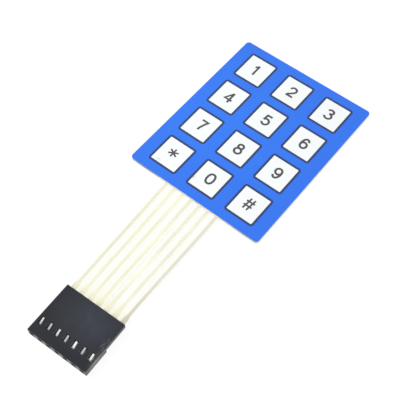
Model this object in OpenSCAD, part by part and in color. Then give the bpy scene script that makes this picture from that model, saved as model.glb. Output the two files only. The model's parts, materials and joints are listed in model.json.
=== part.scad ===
// Membrane keypad: a laminated pad of twelve keys, a flat two-film tail and a crimped socket connector.
// Millimetres. The origin is the centre of the pad's rear face. +Y points to the top key row, +Z is up.

/* [Pad] */
// Distance between key columns
key_pitch_x = 12.6; // [11.5:0.05:16]
// Distance between key rows
key_pitch_y = 12.15; // [11.5:0.05:16]
// Distance from the outer key columns to the pad's side edges
side_margin = 8.25; // [7.5:0.05:14]
// Distance from the outer key rows to the pad's top and bottom edges
end_margin = 7.5; // [7:0.05:14]
// Corner radius of the pad
pad_corner_r = 1; // [0.5:0.1:4]

/* [Key print] */
// Width of a key's white face
key_w = 7.8; // [6:0.05:9.5]
// Height of a key's white face
key_h = 8.45; // [6:0.05:9.5]
// Corner radius of a key's white face
key_corner_r = 0.2; // [0.1:0.05:2]
// Width of the dark line round a key
outline_w = 0.65; // [0.2:0.05:0.8]
// Depth of the key print in the overlay
print_t = 0.03; // [0.02:0.01:0.08]

/* [Layers] */
// Thickness of the release liner
liner_t = 0.1; // [0.05:0.01:0.2]
// Thickness of the rear adhesive
rear_adhesive_t = 0.1; // [0.05:0.01:0.2]
// Thickness of each circuit film
film_t = 0.125; // [0.075:0.025:0.2]
// Thickness of the printed conductors
ink_t = 0.02; // [0.01:0.005:0.04]
// Thickness of the spacer
spacer_t = 0.15; // [0.1:0.01:0.3]
// Thickness of the adhesive under the overlay
overlay_adhesive_t = 0.06; // [0.05:0.01:0.15]
// Thickness of the graphic overlay
overlay_t = 0.2; // [0.125:0.025:0.4]

/* [Circuit] */
// Diameter of the printed contact disc under each key
disc_d = 5; // [3:0.1:6]
// Room in the spacer around each contact disc
disc_clearance = 0.75; // [0.3:0.05:1.5]
// Width of the air channels in the spacer
vent_w = 0.8; // [0.4:0.1:2]
// Width of the printed lines inside the pad
trace_w = 0.5; // [0.3:0.05:0.7]
// Width of the printed lines on the tail
tail_line_w = 0.8; // [0.5:0.05:1.2]
// Width of the broad line ends at the connector
terminal_w = 1.35; // [1.25:0.05:1.6]
// Length of the broad line ends that shows behind the connector
terminal_l = 3.2; // [1:0.1:6]
// Length over which a line widens to its broad end
terminal_taper = 1.5; // [0.5:0.1:3]
// Bare film beyond the end of each line
line_end_gap = 0.25; // [0.1:0.05:0.5]

/* [Tail] */
// Length of tail between the pad's edge and the connector
tail_l = 37.5; // [20:0.1:80]
// Distance between neighbouring lines where they leave the pad
line_pitch = 2.7; // [2.5:0.01:3]
// Gap between the two films of the tail
tail_split = 0.2; // [0.1:0.05:0.6]
// Radius where the tail widens into the pad
tail_root_r = 2; // [1:0.1:3]
// Sideways swing of the tail, as it lies
tail_swing = 2.4; // [-4:0.1:4]
// Level length at each end of the tail's rise
tail_level_l = 4; // [3:0.1:8]

/* [Connector] */
// Distance between neighbouring contacts
contact_pitch = 2.54; // [2.5:0.01:3]
// Length of the housing
housing_l = 14.3; // [13.5:0.05:20]
// Height of the housing
housing_h = 2.54; // [2.4:0.01:3.2]
// Length of the closed socket block at the front
socket_l = 7.2; // [6.6:0.05:7.8]
// Height of the open rear half's lower edge
rear_lift = 1.15; // [0.8:0.05:1.3]
// Thickness of the housing's floor
floor_t = 0.4; // [0.3:0.05:0.6]
// Thickness of the housing's roof
roof_t = 0.45; // [0.3:0.05:0.6]
// Thickness of the webs between the sockets
web_t = 0.8; // [0.6:0.05:0.9]
// Thickness of the front wall
front_wall_t = 0.8; // [0.5:0.05:1.2]
// Side of the square pins that the sockets take
pin_size = 0.64; // [0.5:0.01:0.75]
// Room for a pin in its hole
pin_fit = 0.36; // [0.2:0.02:0.45]
// Width of the pin hole's mouth
pin_mouth_w = 1.4; // [1.15:0.05:1.6]
// Height of the pin hole's mouth
pin_mouth_h = 1.9; // [1.15:0.05:2]
// Depth of the funnel in the pin hole's mouth
funnel_l = 0.35; // [0.2:0.05:0.45]
// Distance from the front face to the lance windows
window_from_front = 2.6; // [2.4:0.05:3]
// Length of a lance window
window_l = 2.1; // [1.7:0.05:2.4]
// Width of a lance window
window_w = 1.3; // [1:0.05:1.5]
// Chamfer on the housing's outer edges
edge_chamfer = 0.15; // [0.05:0.05:0.3]
// Room between the tail films and the housing's cheeks
film_fit = 0.1; // [0.05:0.05:0.3]
// Room between the films' ends and the socket block
film_gap = 0.1; // [0.05:0.05:0.3]

/* [Contacts] */
// Thickness of the contact metal
metal_t = 0.15; // [0.1:0.01:0.2]
// Room between a contact and its socket
contact_fit = 0.05; // [0.02:0.01:0.1]
// Room in the stamped cuts, behind a window and round a claw
stamp_gap = 0.12; // [0.05:0.01:0.15]
// Distance from a receptacle's rear end to the end of the socket block
box_setback = 0.2; // [0.1:0.05:0.4]
// Width of a lance
lance_w = 0.5; // [0.4:0.05:0.7]
// Depth of a lance's tip below the housing's top
lance_set = 0.05; // [0.02:0.01:0.25]
// Distance from a lance's tip to the rear edge of its window
lance_play = 0.2; // [0.1:0.05:0.4]
// Distance from a lance's dip, which grips the pin, to the window's front edge
lance_dip_ahead = 0.3; // [0.1:0.05:0.5]
// Length over which a lance falls to its dip
lance_lead = 0.65; // [0.4:0.05:0.8]
// Press of the dip, and of the spring, on the pin
pin_squeeze = 0.12; // [0.04:0.01:0.2]
// Width of the bowed spring under the pin
spring_w = 1; // [0.6:0.05:1.2]
// Length of the neck between a receptacle and its crimp plate
neck_l = 0.6; // [0.4:0.05:0.8]
// Distance from the crimp plate's end to the rear of the housing
plate_setback = 0.5; // [0.3:0.05:1]
// Width of the crimp plate over the film
crimp_w = 1.1; // [1:0.05:1.2]
// Length of one claw along the tail
claw_l = 1; // [0.6:0.05:1.4]
// Distance between the two pairs of claws
claw_pitch = 2.5; // [1.8:0.05:2.8]
// Distance from the socket block to the first claws
claw_from_block = 1.9; // [1.6:0.05:2.3]
// Length that a claw folds under the film
claw_fold = 0.38; // [0.2:0.02:0.45]

/* [Hidden] */
$fn = 48;
rows = 4;
columns = 3;
terminals = rows + columns;
key_names = ["1", "2", "3", "4", "5", "6", "7", "8", "9", "star", "0", "hash"];
eps = 0.01;

overlay_blue = "#3f7bf0";
print_white = "#f8fafc";
print_dark = "#1c2030";
film_clear = "#f3f2ea";
adhesive_pale = "#e8dfc0";
liner_cream = "#efe6cc";
silver_ink = "#cfcdb0";
housing_black = "#26282c";
contact_tin = "#c9cacc";

pad_w = (columns - 1) * key_pitch_x + 2 * side_margin;
pad_h = (rows - 1) * key_pitch_y + 2 * end_margin;
reach = 2 * (pad_w + pad_h + tail_l + housing_l);

// Levels of the layers, from the table up
adhesive_z = liner_t;
lower_z = adhesive_z + rear_adhesive_t;
column_ink_z = lower_z + film_t;
spacer_z = column_ink_z + ink_t;
row_ink_z = spacer_z + spacer_t;
upper_z = row_ink_z + ink_t;
overlay_adhesive_z = upper_z + film_t;
overlay_z = overlay_adhesive_z + overlay_adhesive_t;
pad_t = overlay_z + overlay_t;

// Connector, measured from its front face towards the pad
housing_w = terminals * contact_pitch;
socket_w = contact_pitch - web_t;
socket_h = housing_h - floor_t - roof_t;
socket_mid_z = floor_t + socket_h / 2;
pin_hole = pin_size + pin_fit;
film_lift = socket_mid_z - film_t / 2;
cheek_t = web_t / 2;
box_w = socket_w - 2 * contact_fit;
box_h = socket_h - 2 * contact_fit;
box_z = floor_t + contact_fit;
box_top = box_z + box_h;
box_front = front_wall_t + contact_fit;
box_back = socket_l - box_setback;
plate_z = film_lift + film_t + ink_t;
plate_back = housing_l - plate_setback;
lance_dip = window_from_front - lance_dip_ahead;
lance_front = lance_dip - lance_lead;
lance_back = window_from_front + window_l - lance_play;
lance_tip_z = housing_h - lance_set;
lance_dip_z = socket_mid_z + pin_size / 2 - pin_squeeze;
cut_back = window_from_front + window_l + stamp_gap;
spring_l = box_back - neck_l - cut_back;
spring_z = box_z + metal_t / 2;
spring_bow = socket_mid_z - pin_size / 2 + pin_squeeze - metal_t - spring_z;

// Tail, measured from the pad's bottom edge; widths are those at the connector
tail_half_w = housing_w / 2 - cheek_t - film_fit;
root_spread = line_pitch / contact_pitch;
split_x = (terminal_x(rows - 1) + terminal_x(rows)) / 2;
film_end = tail_l + housing_l - socket_l - film_gap;
rise_l = tail_l - 2 * tail_level_l;
rise_steps = 12;

// Printed lines in the margins between the pad's edges and the discs, with a part of their
// spacing left free on both sides
free_share = 0.8;
margin_spaces = rows - 1 + 2 * free_share;
bus_pitch = (side_margin - disc_d / 2) / margin_spaces;
run_pitch = (end_margin - disc_d / 2) / margin_spaces;

function key_x(c) = (c - (columns - 1) / 2) * key_pitch_x;
function key_y(r) = ((rows - 1) / 2 - r) * key_pitch_y;
function terminal_x(i) = (i - (terminals - 1) / 2) * contact_pitch;
function bus_x(r) = -pad_w / 2 + (r + free_share) * bus_pitch;
function run_y(r) = -pad_h / 2 + (r + free_share) * run_pitch;

// Place of terminal line i across the tail, where it leaves the pad
function root_x(i) = terminal_x(i) * root_spread;
// Height above the pad's edge, along the tail, where terminal line i meets the level y on the pad
function entry(i, y) = (y + pad_h / 2 - root_x(i) * sin(tail_swing)) / cos(tail_swing);
function entry_point(i, y) = [
    root_x(i) * cos(tail_swing) - entry(i, y) * sin(tail_swing),
    y
];

// Path down the tail from the height top to the depth end, drawing in to x at the connector
function tail_path(x, top, end) = [
    [x * root_spread, top], [x * root_spread, -tail_level_l],
    [x, terminal_l - tail_l], [x, -end]
];
function reversed(list) = [for (i = [len(list) - 1 : -1 : 0]) list[i]];

// Outline of a line of width w along a path, with mitred corners
function unit(v) = v / norm(v);
function normal(path, i) = let (d = unit(path[i + 1] - path[i])) [-d[1], d[0]];
function mitre(path, i) =
    i == 0 ? normal(path, 0)
    : i == len(path) - 1 ? normal(path, i - 1)
    : let (a = normal(path, i - 1), b = normal(path, i)) (a + b) / (1 + a * b);
function ribbon(path, w) = concat(
    [for (i = [0 : len(path) - 1]) path[i] - w / 2 * mitre(path, i)],
    reversed([for (i = [0 : len(path) - 1]) path[i] + w / 2 * mitre(path, i)])
);

// Smooth rise from 0 to 1
function ease(u) = u * u * (3 - 2 * u);

module rounded_rect(w, h, r) {
    square([w - 2 * r, h], center = true);
    square([w, h - 2 * r], center = true);
    for (x = [-1, 1], y = [-1, 1])
        translate([x * (w / 2 - r), y * (h / 2 - r)])
            circle(r);
}

module pad_outline() {
    rounded_rect(pad_w, pad_h, pad_corner_r);
}

module slab(z, t) {
    translate([0, 0, z])
        linear_extrude(t)
            children();
}

module in_tail() {
    translate([0, -pad_h / 2])
        rotate(tail_swing)
            children();
}

module in_connector() {
    in_tail()
        translate([0, -tail_l - housing_l])
            children();
}

// A section drawn in Y and Z, made solid over the width w
module across(w) {
    rotate([90, 0, 90])
        linear_extrude(w, center = true)
            children();
}

// A film that lies level in the pad, rises along the tail and lies level again in the connector
module laid_film(pad_z, connector_z, t) {
    curve = concat(
        [[reach / 2, pad_z]],
        [
            for (i = [0 : rise_steps])
                let (u = i / rise_steps)
                    [-tail_level_l - rise_l * u, pad_z + (connector_z - pad_z) * ease(u)]
        ],
        [[-reach / 2, connector_z]]
    );
    intersection() {
        in_tail()
            across(reach)
                polygon(concat(curve, reversed([for (point = curve) point + [0, t]])));
        linear_extrude(housing_h + pad_t)
            children();
    }
}

module claw_slits() {
    for (pair = [0, 1], side = [-1, 1])
        translate([
            side * (crimp_w - metal_t) / 2,
            socket_l + claw_from_block + pair * claw_pitch
        ])
            square([metal_t + stamp_gap / 2, claw_l + stamp_gap], center = true);
}

module terminal_slits() {
    in_connector()
        for (i = [0 : terminals - 1])
            translate([terminal_x(i), 0])
                claw_slits();
}

// Half of the tail between x0 and x1, with its outer edge curving out into the pad
module tail_half(x0, x1, side) {
    edge = side * tail_half_w * root_spread;
    polygon(concat(
        tail_path(x0, tail_root_r, film_end),
        reversed(tail_path(x1, tail_root_r, film_end))
    ));
    difference() {
        translate([edge + side * (tail_root_r - eps) / 2, 0])
            square([tail_root_r + eps, 2 * tail_root_r], center = true);
        translate([edge + side * tail_root_r, -tail_root_r])
            circle(tail_root_r);
    }
}

module film_outline(x0, x1, side) {
    difference() {
        union() {
            pad_outline();
            in_tail()
                tail_half(x0, x1, side);
        }
        terminal_slits();
    }
}

// The line of terminal i from the level y on the pad down the tail, with its broad end
module terminal_line(i, y) {
    end = film_end - line_end_gap;
    shoulder = terminal_l - tail_l;
    in_tail() {
        polygon(ribbon(tail_path(terminal_x(i), entry(i, y) + trace_w / 2, end), tail_line_w));
        translate([terminal_x(i), 0])
            polygon([
                [-terminal_w / 2, -end], [terminal_w / 2, -end],
                [terminal_w / 2, shoulder - terminal_taper], [trace_w / 2, shoulder],
                [-trace_w / 2, shoulder], [-terminal_w / 2, shoulder - terminal_taper]
            ]);
    }
}

module key_discs(cs, rs) {
    for (c = cs, r = rs)
        translate([key_x(c), key_y(r)])
            circle(d = disc_d);
}

module row_outline(r) {
    y = run_y(r);
    path = [
        [key_x(columns - 1), key_y(r)],
        [bus_x(r), key_y(r)],
        [bus_x(r), y],
        entry_point(r, y)
    ];
    difference() {
        union() {
            key_discs([0 : columns - 1], [r]);
            polygon(ribbon(path, trace_w));
            terminal_line(r, y);
        }
        terminal_slits();
    }
}

module column_outline(c) {
    y = run_y(c == 0 ? 1 : 2);
    path = [
        [key_x(c), key_y(0)],
        [key_x(c), y],
        entry_point(rows + c, y)
    ];
    difference() {
        union() {
            key_discs([c], [0 : rows - 1]);
            polygon(ribbon(path, trace_w));
            terminal_line(rows + c, y);
        }
        terminal_slits();
    }
}

module key_field(k) {
    translate([key_x(k % columns), key_y(floor(k / columns))])
        children();
}

module key_face_outline() {
    rounded_rect(key_w, key_h, key_corner_r);
}

module key_print_outline() {
    rounded_rect(key_w + 2 * outline_w, key_h + 2 * outline_w, key_corner_r + outline_w);
}

module release_liner() {
    color(liner_cream)
        slab(0, liner_t)
            pad_outline();
}

module rear_adhesive() {
    color(adhesive_pale)
        slab(adhesive_z, rear_adhesive_t)
            pad_outline();
}

module lower_circuit_film() {
    color(film_clear)
        laid_film(lower_z, film_lift, film_t)
            film_outline(split_x + tail_split / 2, tail_half_w, 1);
}

module upper_circuit_film() {
    color(film_clear)
        laid_film(upper_z, film_lift, film_t)
            film_outline(-tail_half_w, split_x - tail_split / 2, -1);
}

module column_trace(c) {
    color(silver_ink)
        laid_film(column_ink_z, film_lift + film_t, ink_t)
            column_outline(c);
}

module row_trace(r) {
    color(silver_ink)
        laid_film(row_ink_z, film_lift - ink_t, ink_t)
            row_outline(r);
}

module spacer() {
    color(film_clear)
        slab(spacer_z, spacer_t)
            difference() {
                pad_outline();
                for (c = [0 : columns - 1], r = [0 : rows - 1])
                    translate([key_x(c), key_y(r)])
                        circle(d = disc_d + 2 * disc_clearance);
                for (r = [0 : rows - 1])
                    translate([0, key_y(r)])
                        square([key_x(columns - 1) - key_x(0), vent_w], center = true);
                square([vent_w, key_y(0) - key_y(rows - 1)], center = true);
            }
}

module overlay_adhesive() {
    color(adhesive_pale)
        slab(overlay_adhesive_z, overlay_adhesive_t)
            pad_outline();
}

module graphic_overlay() {
    color(overlay_blue)
        difference() {
            slab(overlay_z, overlay_t)
                pad_outline();
            slab(pad_t - print_t, overlay_t)
                for (k = [0 : len(key_names) - 1])
                    key_field(k)
                        key_print_outline();
        }
}

module key_outlines() {
    color(print_dark)
        slab(pad_t - print_t, print_t)
            for (k = [0 : len(key_names) - 1])
                key_field(k)
                    difference() {
                        key_print_outline();
                        key_face_outline();
                    }
}

module key_face(k) {
    color(print_white)
        slab(pad_t - print_t, print_t)
            key_field(k)
                key_face_outline();
}

module chamfered_rect(x0, y0, x1, y1, c) {
    polygon([
        [x0 + c, y0], [x1 - c, y0], [x1, y0 + c], [x1, y1 - c],
        [x1 - c, y1], [x0 + c, y1], [x0, y1 - c], [x0, y0 + c]
    ]);
}

// Housing without its sockets: full height at the front, open below at the rear
module housing_body() {
    c = edge_chamfer;
    half = housing_w / 2;
    intersection() {
        across(2 * housing_w)
            polygon([
                [0, c], [c, 0], [socket_l, 0], [socket_l, rear_lift], [housing_l, rear_lift],
                [housing_l, housing_h - c], [housing_l - c, housing_h], [c, housing_h], [0, housing_h - c]
            ]);
        linear_extrude(2 * housing_h)
            chamfered_rect(-half, 0, half, housing_l, c);
        rotate([90, 0, 0])
            linear_extrude(3 * housing_l, center = true)
                chamfered_rect(-half, 0, half, housing_h, c);
    }
}

module funnel_wedge(mouth) {
    linear_extrude(2 * housing_h, center = true)
        polygon([
            [-mouth / 2, -eps], [mouth / 2, -eps],
            [pin_hole / 2, funnel_l], [-pin_hole / 2, funnel_l]
        ]);
}

// Square hole through the front wall with a funnel at its mouth
module pin_entry() {
    intersection() {
        funnel_wedge(pin_mouth_w);
        rotate([0, 90, 0])
            funnel_wedge(pin_mouth_h);
    }
    translate([-pin_hole / 2, 0, -pin_hole / 2])
        cube([pin_hole, front_wall_t + eps, pin_hole]);
}

module socket() {
    translate([-socket_w / 2, front_wall_t, floor_t])
        cube([socket_w, housing_l, socket_h]);
    translate([0, 0, socket_mid_z])
        pin_entry();
    translate([-window_w / 2, window_from_front, socket_mid_z])
        cube([window_w, window_l, housing_h]);
}

module connector_housing() {
    film_slot_w = housing_w - 2 * cheek_t;
    color(housing_black)
        in_connector()
            difference() {
                housing_body();
                for (i = [0 : terminals - 1])
                    translate([terminal_x(i), 0, 0])
                        socket();
                translate([-film_slot_w / 2, socket_l, -housing_h])
                    cube([film_slot_w, housing_l, housing_h + film_lift + film_t]);
            }
}

// Folded box that takes the pin, cut down to a channel under the window
module receptacle() {
    inner_w = box_w - 2 * metal_t;
    inner_h = box_h - 2 * metal_t;
    box_l = box_back - box_front;
    difference() {
        translate([-box_w / 2, box_front, box_z])
            cube([box_w, box_l, box_h]);
        translate([-inner_w / 2, box_front - eps, box_z + metal_t])
            cube([inner_w, box_l + 2 * eps, inner_h]);
        translate([-box_w, lance_front, socket_mid_z])
            cube([2 * box_w, cut_back - lance_front, box_h]);
    }
}

// Leaf that dips from the box's top to grip the pin and rises again to lock in the window
module lance() {
    underside = [
        [lance_front - metal_t, box_top - metal_t],
        [lance_front, box_top - metal_t],
        [lance_dip, lance_dip_z],
        [lance_back, lance_tip_z - metal_t]
    ];
    across(lance_w)
        polygon(concat(underside, reversed([for (point = underside) point + [0, metal_t]])));
}

// Leaf behind the window that bows up from the box's floor under the pin
module spring() {
    steps = 8;
    bow = [
        for (i = [0 : steps])
            [cut_back + spring_l * i / steps, spring_z + spring_bow * sin(180 * i / steps)]
    ];
    across(spring_w)
        polygon(concat(bow, reversed([for (point = bow) point + [0, metal_t]])));
}

// Plate that lies on the printed line, necked out of the box's side walls
module crimp_plate() {
    slab(plate_z, metal_t)
        polygon([
            [-box_w / 2, box_back - neck_l], [box_w / 2, box_back - neck_l],
            [box_w / 2, box_back], [crimp_w / 2, box_back + neck_l],
            [crimp_w / 2, plate_back], [-crimp_w / 2, plate_back],
            [-crimp_w / 2, box_back + neck_l], [-box_w / 2, box_back]
        ]);
}

// Claws pushed through the film and folded in below it
module claws() {
    foot_z = film_lift - ink_t - metal_t;
    for (pair = [0, 1], side = [0, 1])
        mirror([side, 0, 0])
            translate([
                crimp_w / 2,
                socket_l + claw_from_block + pair * claw_pitch + claw_l / 2,
                0
            ])
                rotate([90, 0, 0])
                    linear_extrude(claw_l)
                        polygon([
                            [0, plate_z + metal_t], [-metal_t, plate_z + metal_t],
                            [-metal_t, foot_z + metal_t], [-claw_fold, foot_z + metal_t],
                            [-claw_fold, foot_z], [0, foot_z]
                        ]);
}

module contact(i) {
    color(contact_tin)
        in_connector()
            translate([terminal_x(i), 0, 0]) {
                receptacle();
                lance();
                spring();
                crimp_plate();
                claws();
            }
}

release_liner();
rear_adhesive();
lower_circuit_film();
upper_circuit_film();
spacer();
for (c = [1 : columns])
    column_trace(c - 1);
for (r = [1 : rows])
    row_trace(r - 1);
overlay_adhesive();
graphic_overlay();
key_outlines();
for (k = [0 : len(key_names) - 1])
    key_face(k);
connector_housing();
for (i = [1 : terminals])
    contact(i - 1);
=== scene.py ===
"""Membrane keypad: finishes, printed legends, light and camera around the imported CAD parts."""
import json
import math

import bpy
from mathutils import Matrix, Vector


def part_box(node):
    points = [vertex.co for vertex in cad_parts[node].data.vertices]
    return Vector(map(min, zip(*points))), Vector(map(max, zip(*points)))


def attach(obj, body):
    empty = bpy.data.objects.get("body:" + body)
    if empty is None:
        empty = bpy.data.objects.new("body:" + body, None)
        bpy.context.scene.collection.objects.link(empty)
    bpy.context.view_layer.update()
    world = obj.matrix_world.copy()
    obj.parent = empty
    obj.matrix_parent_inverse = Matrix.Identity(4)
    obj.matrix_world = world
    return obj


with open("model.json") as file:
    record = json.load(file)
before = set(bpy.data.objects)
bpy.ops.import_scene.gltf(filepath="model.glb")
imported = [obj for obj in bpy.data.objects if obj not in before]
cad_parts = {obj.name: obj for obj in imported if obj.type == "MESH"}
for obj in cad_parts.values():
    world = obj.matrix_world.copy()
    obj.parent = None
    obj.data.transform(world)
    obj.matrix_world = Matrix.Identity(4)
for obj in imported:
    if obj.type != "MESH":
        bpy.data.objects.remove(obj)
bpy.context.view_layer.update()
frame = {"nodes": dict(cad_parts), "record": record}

MM = 0.001

# Photograph's camera, fitted to the key grid, the pad's edges and the connector
CAMERA_AT = Vector((74.617, -111.343, 183.701)) * MM
CAMERA_RIGHT = Vector((0.778309, 0.627767, -0.012006))
CAMERA_UP = Vector((-0.529203, 0.66616, 0.525523))
CAMERA_LENS = 75.83
CAMERA_SENSOR = 36.0
CAMERA_CLIP = 0.005

# Light and stage: levels of light, lengths in millimetres, and the floor's half size in metres
SKY_LIGHT, SKY_SHOWN = 0.77, 1.0
FLOOR_PALE, FLOOR_SHOWN, FLOOR_LIFT = 0.70, 0.13, 0.90
FLOOR_HALF = 3.0
FLOOR_DROP = 0.02
LAMP_AT, LAMP_AIM = (-360, -180, 400), (0, -25, 0)
LAMP_SIZE, LAMP_WATTS = 300, 1.2

# Printed legends, in millimetres about a key's centre
DIGIT_H = 3.72
DIGIT_BASE = -1.78
DIGIT_STROKE = 0.62
SIGN_STROKE = 0.50
PRINT_RISE = 0.012
PRINT_ROOT = 0.004

# Fineness of the arcs, and the smallest divisor of a mitre, which keeps sharp corners short
ARC_STEP_DEGREES = 7.5
MITRE_LIMIT = 0.3

# Depth to which the printed lines bite into their film, in millimetres
INK_BITE = 0.004
# Strip outside the pad in which the film turns from white to clear, a painted highlight along the
# pad's edge, in millimetres
HIGHLIGHT_FRINGE = 0.3

# Spots where a colour changes, for a finish or for painted light and shade: a centre and the reach
# along each axis, in millimetres
# Painted pool of light on the middle of the overlay
PAD_LIGHT_POOL = (-7, -3, 0.9), (32, 36, 20)
STAR_MARK = (-14.6, -21.6, 0.9), (0.9, 0.5, 1)
ZERO_MARK = (-3.65, -20.4, 0.9), (0.45, 1.0, 1)
# Painted shade on the pad's cut bottom edge, left and right of the tail
BOTTOM_SHADE_LEFT = (-15.5, -25.8, 0.4), (9, 1.5, 2)
BOTTOM_SHADE_RIGHT = (16.5, -25.8, 0.4), (8, 1.5, 2)
TAIL_END = (1.5, -65.5, 1.2), (16, 8, 16)
# Painted highlight of a lamp's reflection on a slanting stretch of the tail, and paler lines before
# the connector
HIGHLIT_AND_PALE_STRETCHES = (
    ((-3.4, -29.5, 0.5), (3.8, 10, 4)),
    ((0.1, -41, 0.8), (2.6, 11, 4)),
    ((3.4, -49, 1), (1.9, 8, 4)),
    ((-1, -64.5, 1.2), (6.5, 9, 4)),
)
LEFT_LINE = (-7.1, -50, 0.8), (1.9, 25, 4)
YELLOW_LINES = (5.3, -65.5, 1.2), (5.2, 9, 4)
# Painted shadow along the tail's right edge, on the line at the right
SHADOWED_RIGHT_LINE = (8.6, -45, 0.8), (1.6, 80, 4)
SHADOWED_RIGHT_LINE_END = (9.3, -63, 1.2), (1.1, 16, 4)
# Painted sheen on the middle of the housing's top
HOUSING_SHEEN = (4, -67, 2.5), (12, 9.5, 5)
# Painted reflection on the housing's right side, and painted light on the walls of its windows
HOUSING_SIDE_REFLECTION = (11.6, -72.5, 1.2), (2.2, 6, 3)
WINDOW_WALL_LIGHT = (2.1, -73.8, 2), (30, 2.4, 2.5)
HOUSING_RUB = (10.2, -69.4, 2.54), (1.3, 2.2, 0.6)
# Reach of the painted reflection on the fifth contact
CONTACT_GLINT_REACH = (1.6, 12, 4)


# Nodes and materials

def add(tree, kind, inputs=None, **settings):
    """Adds a node, sets its properties, and links or sets its inputs."""
    made = tree.nodes.new(kind)
    for key, value in settings.items():
        setattr(made, key, value)
    for socket, value in (inputs or {}).items():
        if isinstance(value, bpy.types.NodeSocket):
            tree.links.new(value, made.inputs[socket])
        else:
            made.inputs[socket].default_value = value
    return made


def new_material(name, **principled):
    """A material with a Principled shader; underscores in socket names stand for spaces."""
    mat = bpy.data.materials.new(name)
    mat.use_nodes = True
    shader = mat.node_tree.nodes["Principled BSDF"]
    for socket, value in principled.items():
        shader.inputs[socket.replace("_", " ")].default_value = value
    return mat, mat.node_tree, shader


def feed(shader, **sources):
    """Links outputs to a shader's sockets; underscores in socket names stand for spaces."""
    for socket, source in sources.items():
        shader.id_data.links.new(source, shader.inputs[socket.replace("_", " ")])


def place(tree, stretch=(1, 1, 1)):
    """Position on the part in metres, scaled along each axis."""
    coords = add(tree, "ShaderNodeTexCoord").outputs["Object"]
    return add(tree, "ShaderNodeMapping", {"Vector": coords, "Scale": stretch}).outputs["Vector"]


def along(tree, axis):
    """Position on the part along one axis, in metres."""
    return add(tree, "ShaderNodeSeparateXYZ", {0: place(tree)}).outputs[axis]


def noise(tree, size_mm, detail=3.0, stretch=(1, 1, 1)):
    """Noise from 0 to 1 whose features are about size_mm across."""
    return add(tree, "ShaderNodeTexNoise", {
        "Vector": place(tree, stretch), "Scale": 1 / (size_mm * MM), "Detail": detail,
    }).outputs["Fac"]


def spread(tree, value, low, high, start=0.3, end=0.7):
    """A value mapped from start..end to low..high."""
    return add(tree, "ShaderNodeMapRange", {
        "Value": value, "From Min": start, "From Max": end, "To Min": low, "To Max": high,
    }).outputs["Result"]


def clouds(tree, size_mm, detail=3.0, stretch=(1, 1, 1)):
    """Noise drawn out to the full range from 0 to 1."""
    return spread(tree, noise(tree, size_mm, detail, stretch), 0, 1)


def combine(tree, operation, a, b):
    """Two values added, multiplied or otherwise joined."""
    return add(tree, "ShaderNodeMath", {0: a, 1: b}, operation=operation).outputs["Value"]


def blend(tree, share, a, b):
    """Colour a where share is 0 and colour b where it is 1."""
    made = add(tree, "ShaderNodeMix", data_type="RGBA")
    for socket, value in (("Factor", share), ("A", a), ("B", b)):
        # The colour sockets come after the float and vector sockets of the same name
        named = [s for s in made.inputs if s.name == socket]
        target = [s for s in named if socket == "Factor" or s.type == "RGBA"][0]
        if isinstance(value, bpy.types.NodeSocket):
            tree.links.new(value, target)
        else:
            target.default_value = value if len(value) == 4 else (*value, 1)
    return [s for s in made.outputs if s.type == "RGBA"][0]


def bump(tree, shader, height, depth_mm):
    """Relief of the given depth from a height between 0 and 1."""
    made = add(tree, "ShaderNodeBump", {"Height": height, "Distance": depth_mm * MM, "Strength": 1.0})
    feed(shader, Normal=made.outputs["Normal"])


def grained(tree, shader, grain, smooth, rough, depth_mm):
    """Relief and roughness from the same grain."""
    feed(shader, Roughness=spread(tree, grain, smooth, rough))
    bump(tree, shader, grain, depth_mm)


def near(tree, spot):
    """1 at the centre of a spot on the part, falling to 0 at its reach along each axis."""
    centre, reach = spot
    coords = add(tree, "ShaderNodeTexCoord").outputs["Object"]
    offset = add(tree, "ShaderNodeVectorMath", {
        0: coords, 1: tuple(c * MM for c in centre),
    }, operation="SUBTRACT").outputs["Vector"]
    scaled = add(tree, "ShaderNodeVectorMath", {
        0: offset, 1: tuple(1 / (r * MM) for r in reach),
    }, operation="MULTIPLY").outputs["Vector"]
    length = add(tree, "ShaderNodeVectorMath", {0: scaled}, operation="LENGTH").outputs["Value"]
    return spread(tree, length, 1, 0, 0, 1)


def on_pad(tree):
    """1 on the pad and 0 on the tail, changing in a strip of painted highlight just outside the pad's
    bottom edge.
    """
    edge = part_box("graphic_overlay")[0][1]
    return spread(tree, along(tree, "Y"), 0, 1, edge - HIGHLIGHT_FRINGE * MM, edge)


def on_cut_edge(tree):
    """1 on faces that stand upright and 0 on faces that lie flat."""
    facing = add(tree, "ShaderNodeTexCoord").outputs["Normal"]
    rise = add(tree, "ShaderNodeSeparateXYZ", {0: facing}).outputs["Z"]
    return spread(tree, combine(tree, "MULTIPLY", rise, rise), 1, 0, 0.2, 0.8)


def bottom_shade(tree, tone):
    """A tone darkened by painted shade on the pad's cut bottom edge, most of all left of the tail."""
    left = near(tree, BOTTOM_SHADE_LEFT)
    right = combine(tree, "MULTIPLY", near(tree, BOTTOM_SHADE_RIGHT), 0.7)
    share = combine(tree, "MULTIPLY", combine(tree, "MAXIMUM", left, right), on_cut_edge(tree))
    return blend(tree, share, tone, (0.20, 0.22, 0.20))


def satin_blue():
    """Overlay film, with painted light that makes it a little paler in the middle than towards the
    right edge and the corners.
    """
    mat, tree, shader = new_material("overlay_blue")
    drift = spread(tree, noise(tree, 9, 2), -0.2, 0.2)
    middle = combine(tree, "ADD", near(tree, PAD_LIGHT_POOL), drift)
    feed(shader, Base_Color=blend(tree, middle, (0.0135, 0.160, 0.850), (0.0155, 0.190, 0.920)))
    grained(tree, shader, noise(tree, 0.16, 2), 0.36, 0.52, 0.004)
    return mat


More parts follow.
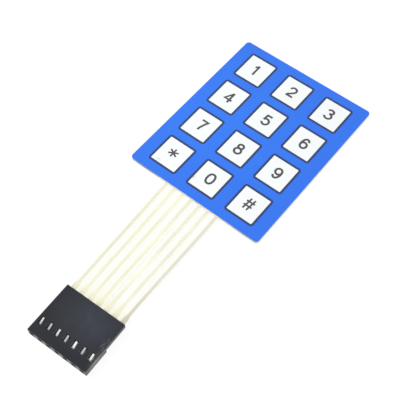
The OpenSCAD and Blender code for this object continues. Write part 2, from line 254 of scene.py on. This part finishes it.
def white_print():
    """Key faces, with a faint rubbed mark low on the star key and one at the left of the zero key."""
    mat, tree, shader = new_material("print_white")
    clean = blend(tree, clouds(tree, 5, 2), (0.928, 0.957, 0.966), (0.948, 0.973, 0.982))
    places = combine(tree, "ADD", near(tree, STAR_MARK), near(tree, ZERO_MARK))
    marks = combine(tree, "MULTIPLY", places, noise(tree, 0.5, 3))
    feed(shader, Base_Color=blend(tree, marks, clean, (0.42, 0.39, 0.45)))
    grained(tree, shader, noise(tree, 0.16, 2), 0.40, 0.55, 0.003)
    return mat


def dark_print():
    """Lines round the keys, of slightly uneven density."""
    mat, tree, shader = new_material("print_dark")
    density = clouds(tree, 0.35, 4)
    feed(shader, Base_Color=blend(tree, density, (0.009, 0.030, 0.115), (0.017, 0.044, 0.160)))
    grained(tree, shader, noise(tree, 0.16, 2), 0.42, 0.58, 0.003)
    return mat


def legend_ink():
    """Digits and signs, of slightly uneven density."""
    mat, tree, shader = new_material("legend_ink")
    density = clouds(tree, 0.25, 4)
    feed(shader, Base_Color=blend(tree, density, (0.056, 0.056, 0.060), (0.084, 0.084, 0.089)))
    grained(tree, shader, noise(tree, 0.12, 2), 0.5, 0.65, 0.003)
    return mat


def clear_film():
    """Film with faint streaks, a little warmer and milkier where it enters the connector."""
    mat, tree, shader = new_material("circuit_film", IOR=1.5)
    streak = clouds(tree, 3, 3, (1, 0.1, 1))
    clean = blend(tree, streak, (1.000, 0.915, 0.540), (1.000, 0.930, 0.590))
    warmth = near(tree, TAIL_END)
    tone = blend(tree, warmth, clean, (1.000, 0.860, 0.340))
    milk = combine(tree, "MULTIPLY", warmth, 0.14)
    haze = combine(tree, "ADD", spread(tree, streak, 0.055, 0.080), milk)
    # Its cut edges look denser, between the glued layers of the pad it looks white, and just past the
    # pad's edge the white is a painted highlight
    glued = on_pad(tree)
    tone = blend(tree, glued, tone, (0.94, 0.94, 0.91))
    edge = combine(tree, "MULTIPLY", on_cut_edge(tree), 0.45)
    layers = combine(tree, "MULTIPLY", glued, 0.95)
    dense = combine(tree, "MAXIMUM", edge, layers)
    # The film's cut edges at the pad's bottom edge get painted shade
    feed(
        shader,
        Base_Color=bottom_shade(tree, tone),
        Alpha=combine(tree, "MAXIMUM", haze, dense),
        Roughness=spread(tree, noise(tree, 0.5, 3), 0.24, 0.32))
    return mat


def silver_line():
    """Printed conductors: pale flakes in a tone that changes from line to line and along the tail."""
    mat, tree, shader = new_material("silver_ink", Metallic=0.1)
    flakes = noise(tree, 0.12, 4)
    bands = clouds(tree, 1.6, 3, (1, 0.3, 1))
    tone = blend(tree, bands, (0.820, 0.825, 0.635), (0.885, 0.890, 0.705))
    # A painted highlight, a lamp's reflection in the gloss, makes a slanting stretch of the tail
    # paler; the lines are paler before the connector too, and greyer on the line at the left
    pale, *others = (near(tree, spot) for spot in HIGHLIT_AND_PALE_STRETCHES)
    for stretch in others:
        pale = combine(tree, "MAXIMUM", pale, stretch)
    tone = blend(tree, pale, tone, (0.955, 0.970, 0.765))
    tone = blend(tree, near(tree, LEFT_LINE), tone, (0.770, 0.775, 0.620))
    # Two lines are yellower near the connector, and a painted shadow along the tail's raised right
    # edge makes the line at the right greyer and then brown
    tone = blend(tree, near(tree, YELLOW_LINES), tone, (0.890, 0.855, 0.560))
    tone = blend(tree, near(tree, SHADOWED_RIGHT_LINE), tone, (0.745, 0.725, 0.610))
    tone = blend(tree, near(tree, SHADOWED_RIGHT_LINE_END), tone, (0.62, 0.54, 0.44))
    glints = spread(tree, flakes, 0, 0.3, 0.55, 0.75)
    feed(shader, Base_Color=blend(tree, glints, tone, (0.92, 0.915, 0.78)))
    grained(tree, shader, flakes, 0.42, 0.6, 0.002)
    return mat


def moulded_black():
    """Housing, with a painted sheen that makes the middle of its top paler and bluer than the front
    and the left.
    """
    mat, tree, shader = new_material("housing_black", Specular_IOR_Level=0.36)
    drift = spread(tree, noise(tree, 2.5, 3), 0.8, 1.2)
    middle = combine(tree, "MULTIPLY", near(tree, HOUSING_SHEEN), drift)
    base = blend(tree, middle, (0.004, 0.006, 0.012), (0.030, 0.034, 0.050))
    # A painted reflection makes the right side paler at the socket block, and painted light makes the
    # walls of the windows paler in their dark recess
    base = blend(tree, near(tree, HOUSING_SIDE_REFLECTION), base, (0.075, 0.077, 0.081))
    window_light = combine(tree, "MULTIPLY", near(tree, WINDOW_WALL_LIGHT), on_cut_edge(tree))
    base = blend(tree, window_light, base, (0.22, 0.22, 0.23))
    # Pale rubs on the top near the right edge
    scratch = spread(tree, noise(tree, 0.35, 4, (1, 0.35, 1)), 0, 1, 0.5, 0.68)
    rub = combine(tree, "MULTIPLY", near(tree, HOUSING_RUB), scratch)
    feed(shader, Base_Color=blend(tree, rub, base, (0.16, 0.17, 0.20)))
    grained(tree, shader, noise(tree, 0.11, 3), 0.20, 0.32, 0.001)
    return mat


def middle_of(node):
    """Centre of a node's box, in metres."""
    return sum(map(Vector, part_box(node)), Vector()) / 2


def dim_contacts(tree):
    """A wave across the connector: 1 at every second contact, which gets painted shade, and 0 at those
    between.
    """
    first, second = (middle_of(name).x for name in ("contact_1", "contact_2"))
    return add(tree, "ShaderNodeTexWave", {
        "Vector": place(tree),
        # The texture turns by 20 radians per unit at scale 1, and is 0 at phase 0
        "Scale": math.pi / (second - first) / 20,
        "Phase Offset": -math.pi * first / (second - first),
    }).outputs["Fac"]


def bright_tin():
    """Plating with painted reflections: brighter towards the right and on the fifth contact, and every
    second contact darker.
    """
    mat, tree, shader = new_material("contact_tin", Metallic=1.0)
    left, fifth, right = (middle_of("contact_%d" % i) for i in (1, 5, 7))
    grade = spread(tree, along(tree, "X"), 0, 1, left.x, right.x)
    bright = blend(tree, grade, (0.40, 0.405, 0.41), (0.70, 0.70, 0.69))
    bright = blend(tree, near(tree, (fifth / MM, CONTACT_GLINT_REACH)), bright, (0.88, 0.88, 0.88))
    dim = blend(tree, grade, (0.27, 0.275, 0.29), (0.39, 0.395, 0.41))
    plating = blend(tree, dim_contacts(tree), bright, dim)
    # Fine streaks along the drawn metal
    draw = noise(tree, 0.09, 3, (1, 0.12, 1))
    feed(
        shader,
        Base_Color=blend(tree, spread(tree, draw, 0, 0.2), plating, (0.85, 0.85, 0.83)),
        Roughness=spread(tree, noise(tree, 0.4, 3), 0.22, 0.34))
    bump(tree, shader, draw, 0.0006)
    return mat


def pale_adhesive():
    """Cloudy adhesive between the layers of the pad, with painted shade on the pad's cut bottom edge.
    """
    mat, tree, shader = new_material("adhesive")
    cloud = clouds(tree, 1.5, 4)
    tone = blend(tree, cloud, (0.90, 0.865, 0.73), (0.94, 0.915, 0.81))
    feed(shader, Base_Color=bottom_shade(tree, tone), Roughness=spread(tree, cloud, 0.35, 0.55))
    bump(tree, shader, noise(tree, 0.3, 3), 0.005)
    return mat


def cream_paper():
    """Release liner with faint fibres, and painted shade on the pad's cut bottom edge."""
    mat, tree, shader = new_material("liner_paper")
    fibre = noise(tree, 0.25, 5, (1, 0.2, 1))
    tone = blend(tree, clouds(tree, 6, 3), (0.85, 0.790, 0.630), (0.91, 0.860, 0.720))
    tone = blend(tree, spread(tree, fibre, 0, 0.3, 0.5, 0.75), tone, (0.76, 0.69, 0.52))
    feed(shader, Base_Color=bottom_shade(tree, tone))
    grained(tree, shader, fibre, 0.42, 0.62, 0.006)
    return mat


MATERIALS = {
    "overlay_blue": satin_blue(),
    "print_white": white_print(),
    "print_dark": dark_print(),
    "circuit_film": clear_film(),
    "silver_ink": silver_line(),
    "housing_black": moulded_black(),
    "contact_tin": bright_tin(),
    "adhesive": pale_adhesive(),
    "liner_paper": cream_paper(),
}
for subpart in frame["record"]["subparts"]:
    part = frame["nodes"][subpart["node"]]
    part.data.materials.clear()
    part.data.materials.append(MATERIALS[subpart["material_slot"]])
    if subpart["material_slot"] == "silver_ink":
        # The ink bites a little into its film, so that the clear film and the ink share no surface
        bite = part.modifiers.new("ink_bite", "DISPLACE")
        bite.mid_level = 0
        bite.strength = INK_BITE * MM


# Legends

def arc(cx, cy, rx, ry, start, end, squareness=2.0):
    """Points along an oval between two angles in degrees; above 2 the oval fills its corners."""
    steps = max(4, round(abs(end - start) / ARC_STEP_DEGREES))
    points = []
    for i in range(steps + 1):
        angle = math.radians(start + (end - start) * i / steps)
        c, s = math.cos(angle), math.sin(angle)
        k = (abs(c) ** squareness + abs(s) ** squareness) ** (-1 / squareness)
        points.append((cx + rx * k * c, cy + ry * k * s))
    return points


def turned(strokes, cx, cy):
    """Strokes turned half round about a point."""
    return [[(2 * cx - x, 2 * cy - y) for x, y in path] for path in strokes]


def bar(cx, cy, dx, dy):
    """A straight stroke through a point, reaching dx and dy to both sides of it."""
    return [(cx - dx, cy - dy), (cx + dx, cy + dy)]


# Digits stand on y = 0, and signs lie about their key's centre
TOP = DIGIT_H - DIGIT_STROKE / 2
BASE = DIGIT_STROKE / 2
SIX = [
    arc(0.13, 1.20, 0.92, 0.94, 0, 360),
    arc(0.19, 1.62, 1.00, TOP - 1.62, 190, 38),
]
DIGITS = {
    "1": [
        [(0.12, 0), (0.12, DIGIT_H)],
        arc(-0.75, 3.65, 0.80, 0.74, 5, -95),
    ],
    "2": [
        arc(-0.02, 2.57, 0.91, TOP - 2.57, 178, -30)
        + [(0.52, 1.77), (0.05, 1.34), (-0.42, 0.93), (-0.79, 0.64), (-0.87, 0.31)],
        [(-1.16, BASE), (1.05, BASE)],
    ],
    "3": [
        arc(-0.25, 2.75, 0.85, TOP - 2.75, 170, -75) + [(-0.40, 2.04)],
        [(-0.40, 2.04)] + arc(-0.25, 1.13, 1.01, 0.90, 80, -165),
    ],
    "4": [
        [(0.55, DIGIT_H), (0.55, 0)],
        [(0.54, 3.56), (-0.96, 1.09), (1.34, 1.09)],
    ],
    "5": [
        [(1.07, TOP), (-0.42, TOP), (-0.67, 1.62)],
        arc(0.16, 1.23, 1.00, 1.00, 140, -158),
    ],
    "6": SIX,
    "7": [
        [(-0.82, TOP), (1.14, TOP), (0.70, 2.62), (0.29, 1.54), (0.05, 0.72), (-0.04, 0)],
    ],
    "8": [
        arc(0.16, 2.71, 0.78, TOP - 2.71, 0, 360),
        arc(0.16, 1.13, 0.97, 0.92, 0, 360),
    ],
    "9": turned(SIX, 0.08, DIGIT_H / 2),
    "0": [arc(0.11, DIGIT_H / 2, 1.01, TOP - DIGIT_H / 2, 0, 360, 2.3)],
}
SIGNS = {
    "star": [
        bar(-0.07, 0.42, 1.46 * math.cos(angle), 1.36 * math.sin(angle))
        for angle in map(math.radians, (30, 90, 150))
    ],
    "hash": [
        [(-0.38, 2.00), (-0.80, -1.66)],
        [(0.78, 2.00), (0.36, -1.66)],
        [(-1.20, 0.86), (1.30, 0.86)],
        [(-1.32, -0.44), (1.22, -0.44)],
    ],
}


def is_closed(path):
    """Whether a path ends where it starts."""
    return math.dist(path[0], path[-1]) < 1e-6


def ribbon(path, width):
    """Left and right sides of a line of the given width along a path, mitred at its corners."""
    points = [Vector(p) for p in path]
    if is_closed(path):
        points.pop()
    sides = []
    for i, point in enumerate(points):
        before, after = points[i - 1], points[(i + 1) % len(points)]
        pairs = [(before, point), (point, after)]
        if not is_closed(path):
            # The first point has no stretch before it and the last has none after it
            pairs = pairs[i == 0:len(points) - i]
        normals = [(b - a).normalized().orthogonal() for a, b in pairs]
        mitre = sum(normals, Vector((0, 0))) / len(normals)
        mitre *= 1 / max(mitre.length_squared, MITRE_LIMIT)
        sides.append((point + mitre * width / 2, point - mitre * width / 2))
    return sides


def legend(name, strokes, width, centre, top):
    """A print of thin strokes lying on a key's face, each stroke a little higher than the last."""
    verts, faces = [], []
    root = top - PRINT_ROOT
    for level, path in enumerate(strokes):
        high = top + PRINT_RISE * (1 + level / len(strokes)) / 2
        sides = ribbon(path, width)
        rings = [range(len(verts) + 4 * i, len(verts) + 4 * i + 4) for i in range(len(sides))]
        for left, right in sides:
            for side, z in ((left, high), (right, high), (right, root), (left, root)):
                verts.append(Vector((centre[0] + side.x, centre[1] + side.y, z)) * MM)
        if is_closed(path):
            rings.append(rings[0])
        else:
            faces += [tuple(reversed(rings[0])), tuple(rings[-1])]
        for a, b in zip(rings, rings[1:]):
            faces += [(a[k], a[(k + 1) % 4], b[(k + 1) % 4], b[k]) for k in range(4)]
    mesh = bpy.data.meshes.new(name)
    mesh.from_pydata(verts, [], faces)
    mesh.materials.append(LEGEND_INK)
    piece = bpy.data.objects.new(name, mesh)
    bpy.context.scene.collection.objects.link(piece)
    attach(piece, "root")


LEGEND_INK = legend_ink()
for key in list(DIGITS) + list(SIGNS):
    low, high = (corner / MM for corner in map(Vector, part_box("key_face_" + key)))
    middle = (low + high) / 2
    if key in SIGNS:
        legend("legend_" + key, SIGNS[key], SIGN_STROKE, middle.xy, high.z)
    else:
        legend("legend_" + key, DIGITS[key], DIGIT_STROKE, middle.xy + Vector((0, DIGIT_BASE)), high.z)


# Stage, light and camera

def shown_rays(tree):
    """1 for the rays that show a surface: from the camera, and by way of gloss or glass."""
    rays = add(tree, "ShaderNodeLightPath").outputs
    direct = combine(tree, "MAXIMUM", rays["Is Camera Ray"], rays["Is Glossy Ray"])
    return combine(tree, "MAXIMUM", direct, rays["Is Transmission Ray"])


def white_floor():
    """Floor that is pale where it lights the part, and white with a faint shadow where it shows."""
    mat = bpy.data.materials.new("floor_white")
    mat.use_nodes = True
    tree = mat.node_tree
    tree.nodes.clear()
    shown = shown_rays(tree)
    shade = spread(tree, shown, FLOOR_PALE, FLOOR_SHOWN, 0, 1)
    surface = add(tree, "ShaderNodeBsdfDiffuse", {"Color": shade}).outputs["BSDF"]
    lift = combine(tree, "MULTIPLY", shown, FLOOR_LIFT)
    glow = add(tree, "ShaderNodeEmission", {"Strength": lift}).outputs["Emission"]
    both = add(tree, "ShaderNodeAddShader", {0: surface, 1: glow}).outputs["Shader"]
    add(tree, "ShaderNodeOutputMaterial", {"Surface": both})
    return mat


corners = [(x * FLOOR_HALF, y * FLOOR_HALF, 0) for x, y in ((-1, -1), (1, -1), (1, 1), (-1, 1))]
floor_mesh = bpy.data.meshes.new("floor")
floor_mesh.from_pydata(corners, [], [(0, 1, 2, 3)])
floor_mesh.materials.append(white_floor())
floor = bpy.data.objects.new("floor", floor_mesh)
bpy.context.scene.collection.objects.link(floor)
floor.location.z = -FLOOR_DROP * MM

world = bpy.data.worlds.new("studio")
world.use_nodes = True
bpy.context.scene.world = world
sky = world.node_tree
sky.nodes.clear()
level = spread(sky, shown_rays(sky), SKY_LIGHT, SKY_SHOWN, 0, 1)
backdrop = add(sky, "ShaderNodeBackground", {"Color": (1, 1, 1, 1), "Strength": level})
add(sky, "ShaderNodeOutputWorld", {"Surface": backdrop.outputs["Background"]})

lamp = bpy.data.lights.new("key_light", "AREA")
lamp.size = LAMP_SIZE * MM
lamp.energy = LAMP_WATTS
softbox = bpy.data.objects.new("key_light", lamp)
softbox.location = Vector(LAMP_AT) * MM
softbox.rotation_euler = (Vector(LAMP_AIM) - Vector(LAMP_AT)).to_track_quat("-Z", "Y").to_euler()
bpy.context.scene.collection.objects.link(softbox)

camera = bpy.data.cameras.new("photo_camera")
camera.sensor_width = CAMERA_SENSOR
camera.lens = CAMERA_LENS
camera.clip_start = CAMERA_CLIP
viewer = bpy.data.objects.new("photo_camera", camera)
back = CAMERA_RIGHT.cross(CAMERA_UP)
turn = Matrix((CAMERA_RIGHT, CAMERA_UP, back)).transposed().to_4x4()
viewer.matrix_world = Matrix.Translation(CAMERA_AT) @ turn
bpy.context.scene.collection.objects.link(viewer)
bpy.context.scene.camera = viewer
bpy.context.scene.view_settings.view_transform = "Standard"
